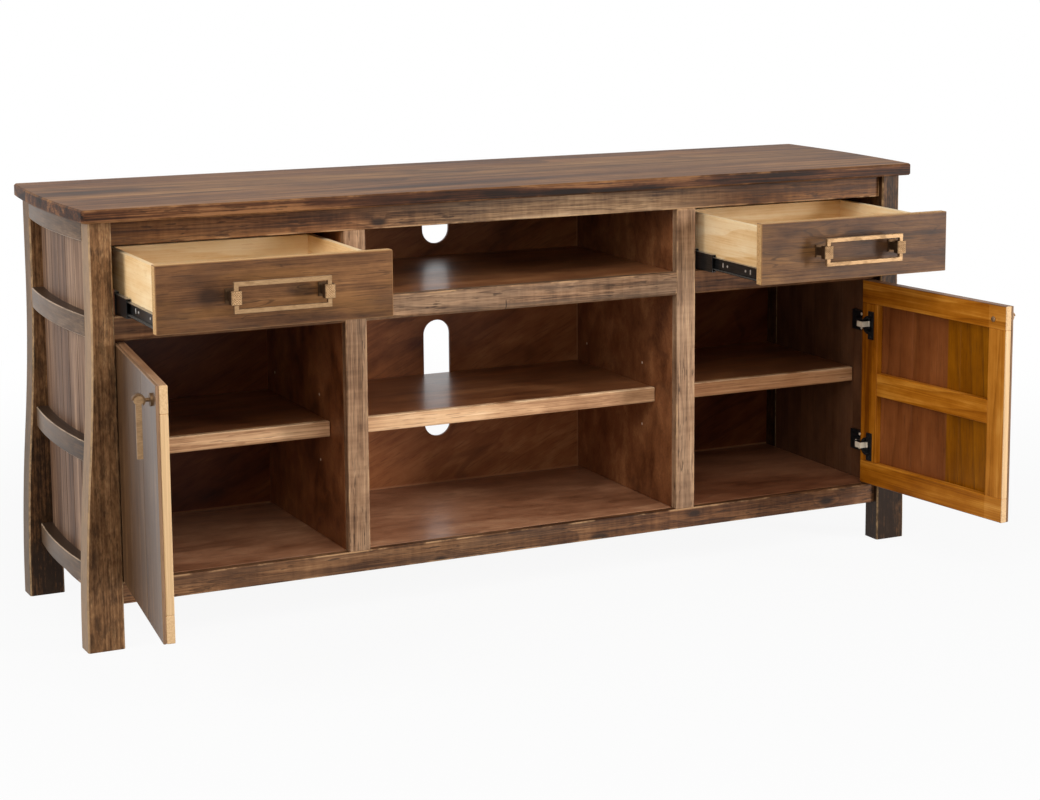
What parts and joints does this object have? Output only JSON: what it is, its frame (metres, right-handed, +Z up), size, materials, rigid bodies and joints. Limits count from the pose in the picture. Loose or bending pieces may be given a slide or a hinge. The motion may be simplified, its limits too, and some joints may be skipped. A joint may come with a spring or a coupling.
{
  "type": "tv stand",
  "caption": "Low wide media cabinet with plank top, flared legs, bowed stave ends with hoops, pull-out drawers, swing doors, open shelved bay and cable slots.",
  "frame": {"origin": "on the floor under the middle of the object as pictured, drawers out and doors open", "axes": "+X along the front to the viewer's right, +Y from front to back, +Z up"},
  "size_m": [1.8512, 0.8967, 0.836],
  "materials": {
    "top_wood": "satin, distressed",
    "case_wood": "satin, distressed",
    "stave_wood": "matte, weathered",
    "hoop_wood": "satin, rubbed edges",
    "inner_wood": "satin",
    "pale_wood": "matte, raw",
    "door_skin": "matte, weathered",
    "door_frame": "satin",
    "old_brass": "satin, aged",
    "black_steel": "satin",
    "pale_steel": "satin"
  },
  "bodies": {
    "case": {"back_panel": "inner_wood", "bottom_rail": "case_wood", "centre_rail": "case_wood", "deck": "inner_wood", "drawer_dividers": "inner_wood", "drawer_rails": "case_wood", "hinge_arms": "black_steel", "hinge_links": "pale_steel", "hoops_left": "hoop_wood", "hoops_right": "hoop_wood", "leg_front_left": "case_wood", "leg_front_right": "case_wood", "leg_rear_left": "case_wood", "leg_rear_right": "case_wood", "partition_left": "inner_wood", "partition_right": "inner_wood", "shelf_centre": "inner_wood", "shelf_lips": "pale_wood", "shelf_pegs": "pale_steel", "side_shelves": "inner_wood", "slide_battens": "inner_wood", "slide_outers": "black_steel", "staves_left": "stave_wood", "staves_right": "stave_wood", "stile_left": "case_wood", "stile_right": "case_wood", "top_plank_front": "top_wood", "top_plank_middle": "top_wood", "top_plank_rear": "top_wood", "top_rail": "case_wood", "upper_shelf": "inner_wood"},
    "left_drawer": {"drawer_front_left": "case_wood", "drawer_sides_left": "pale_wood", "drawer_back_left": "pale_wood", "drawer_tray_left": "pale_wood", "slide_runners_left": "black_steel", "pull_loop_left": "old_brass", "pull_posts_left": "old_brass"},
    "left_carriers": {"slide_carriers_left": "black_steel"},
    "left_door": {"door_planks_left": "door_skin", "door_rails_left": "door_frame", "door_stiles_left": "door_frame", "hinge_cups_left": "black_steel", "grip_mount_left": "old_brass"},
    "left_grip": {"grip_bar_left": "old_brass"},
    "right_drawer": {"drawer_front_right": "case_wood", "drawer_sides_right": "pale_wood", "drawer_back_right": "pale_wood", "drawer_tray_right": "pale_wood", "slide_runners_right": "black_steel", "pull_loop_right": "old_brass", "pull_posts_right": "old_brass"},
    "right_carriers": {"slide_carriers_right": "black_steel"},
    "right_door": {"door_planks_right": "door_skin", "door_rails_right": "door_frame", "door_stiles_right": "door_frame", "hinge_cups_right": "black_steel", "grip_mount_right": "old_brass"},
    "right_grip": {"grip_bar_right": "old_brass"}
  },
  "joints": [
    {"name": "left_drawer_slide", "type": "slide", "parent": "case", "child": "left_drawer", "axis": [0, -1, 0], "range_m": [-0.259, 0.091]},
    {"name": "left_carrier_slide", "type": "slide", "parent": "case", "child": "left_carriers", "axis": [0, -1, 0], "range_m": [-0.1295, 0.0455]},
    {"name": "left_door_hinge", "type": "hinge", "parent": "case", "child": "left_door", "pos_m": [-0.8315, -0.0108, 0.355], "axis": [0, 0, -1], "range_deg": [-97, 3]},
    {"name": "left_grip_swing", "type": "hinge", "parent": "left_door", "child": "left_grip", "pos_m": [-0.9135, -0.40625, 0.551], "axis": [0.1219, 0.9925, 0], "range_deg": [-8, 60]},
    {"name": "right_drawer_slide", "type": "slide", "parent": "case", "child": "right_drawer", "axis": [0, -1, 0], "range_m": [-0.259, 0.091]},
    {"name": "right_carrier_slide", "type": "slide", "parent": "case", "child": "right_carriers", "axis": [0, -1, 0], "range_m": [-0.1295, 0.0455]},
    {"name": "right_door_hinge", "type": "hinge", "parent": "case", "child": "right_door", "pos_m": [0.8315, -0.0108, 0.355], "axis": [0, 0, 1], "range_deg": [-97, 3]},
    {"name": "right_grip_swing", "type": "hinge", "parent": "right_door", "child": "right_grip", "pos_m": [0.9135, -0.40625, 0.551], "axis": [0.1219, -0.9925, 0], "range_deg": [-8, 60]}
  ],
  "couplings": [
    {"joint": "left_carrier_slide", "follows": "left_drawer_slide", "ratio": 0.5},
    {"joint": "right_carrier_slide", "follows": "right_drawer_slide", "ratio": 0.5}
  ]
}
